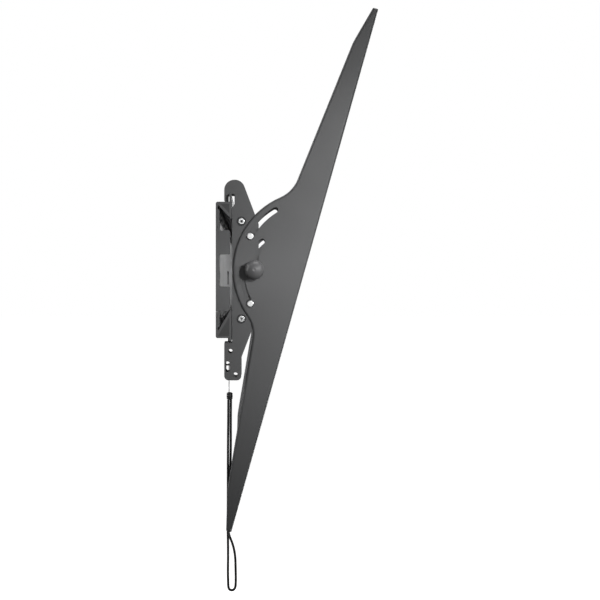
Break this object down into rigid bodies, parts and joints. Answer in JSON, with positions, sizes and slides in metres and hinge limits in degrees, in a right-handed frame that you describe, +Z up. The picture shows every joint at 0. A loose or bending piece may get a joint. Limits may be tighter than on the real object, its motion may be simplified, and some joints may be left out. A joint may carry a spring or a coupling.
{
  "type": "tilting tv wall mount",
  "caption": "Tilt-only flat-screen wall mount: a wall plate with lipped rails, hooked brackets with curved-slot arms, ball knobs, spring latches and a pull-cord release.",
  "frame": {"origin": "middle of the wall plate's back face, on the wall", "axes": "+Z up, +X along the wall, +Y into the wall, the screen on the -Y side"},
  "size_m": [0.8958, 0.1944, 0.7051],
  "materials": {
    "powder_coat": "fine-textured charcoal powder coat, satin",
    "dark_rivet": "painted rivet head",
    "zinc": "bright zinc-plated steel",
    "spring_steel": "drawn spring wire",
    "black_nylon": "moulded nylon",
    "knob_plastic": "moulded plastic with a soft sheen",
    "cap_plastic": "dark grey moulded end plug",
    "cord_braid": "braided polyester cord"
  },
  "bodies": {
    "wall_plate": {"wall_panel": "powder_coat", "top_rail": "powder_coat", "bottom_rail": "powder_coat", "rail_end_caps": "cap_plastic", "panel_rivets": "dark_rivet"},
    "bracket_left": {"hook_plate_outer_left": "powder_coat", "hook_plate_inner_left": "powder_coat", "spacer_sleeves_left": "zinc", "hollow_rivets_left": "zinc", "rivet_washers_left": "black_nylon", "guide_pins_left": "zinc", "slide_washers_left": "black_nylon", "tension_bolt_left": "zinc", "friction_washers_left": "zinc", "latch_spring_left": "spring_steel"},
    "arm_left": {"tv_arm_left": "powder_coat"},
    "knob_left": {"tension_knob_left": "knob_plastic"},
    "release_left": {"latch_left": "powder_coat", "release_wire_left": "spring_steel", "pull_bead_left": "black_nylon", "pull_cord_left": "cord_braid"},
    "bracket_right": {"hook_plate_outer_right": "powder_coat", "hook_plate_inner_right": "powder_coat", "spacer_sleeves_right": "zinc", "hollow_rivets_right": "zinc", "rivet_washers_right": "black_nylon", "guide_pins_right": "zinc", "slide_washers_right": "black_nylon", "tension_bolt_right": "zinc", "friction_washers_right": "zinc", "latch_spring_right": "spring_steel"},
    "arm_right": {"tv_arm_right": "powder_coat"},
    "knob_right": {"tension_knob_right": "knob_plastic"},
    "release_right": {"latch_right": "powder_coat"}
  },
  "joints": [
    {"name": "left_bracket_slide", "type": "slide", "parent": "wall_plate", "child": "bracket_left", "axis": [1, 0, 0], "range_m": [0, 0.33]},
    {"name": "left_arm_tilt", "type": "hinge", "parent": "bracket_left", "child": "arm_left", "pos_m": [-0.4, -0.1148, 0], "axis": [-1, 0, 0], "range_deg": [0, 30.1]},
    {"name": "left_knob_turn", "type": "hinge", "parent": "bracket_left", "child": "knob_left", "pos_m": [-0.4, -0.0461, 0], "axis": [1, 0, 0], "continuous": true},
    {"name": "left_latch_pull", "type": "slide", "parent": "bracket_left", "child": "release_left", "axis": [0, 0, -1], "range_m": [0, 0.006], "stiffness_N_per_m": 300, "springref_m": -0.012, "deforming": ["latch_spring_left"]},
    {"name": "right_bracket_slide", "type": "slide", "parent": "wall_plate", "child": "bracket_right", "axis": [-1, 0, 0], "range_m": [0, 0.33]},
    {"name": "right_arm_tilt", "type": "hinge", "parent": "bracket_right", "child": "arm_right", "pos_m": [0.4, -0.1148, 0], "axis": [-1, 0, 0], "range_deg": [0, 30.1]},
    {"name": "right_knob_turn", "type": "hinge", "parent": "bracket_right", "child": "knob_right", "pos_m": [0.4, -0.0461, 0], "axis": [1, 0, 0], "continuous": true},
    {"name": "right_latch_pull", "type": "slide", "parent": "bracket_right", "child": "release_right", "axis": [0, 0, -1], "range_m": [0, 0.006], "stiffness_N_per_m": 300, "springref_m": -0.012, "deforming": ["latch_spring_right"]}
  ]
}
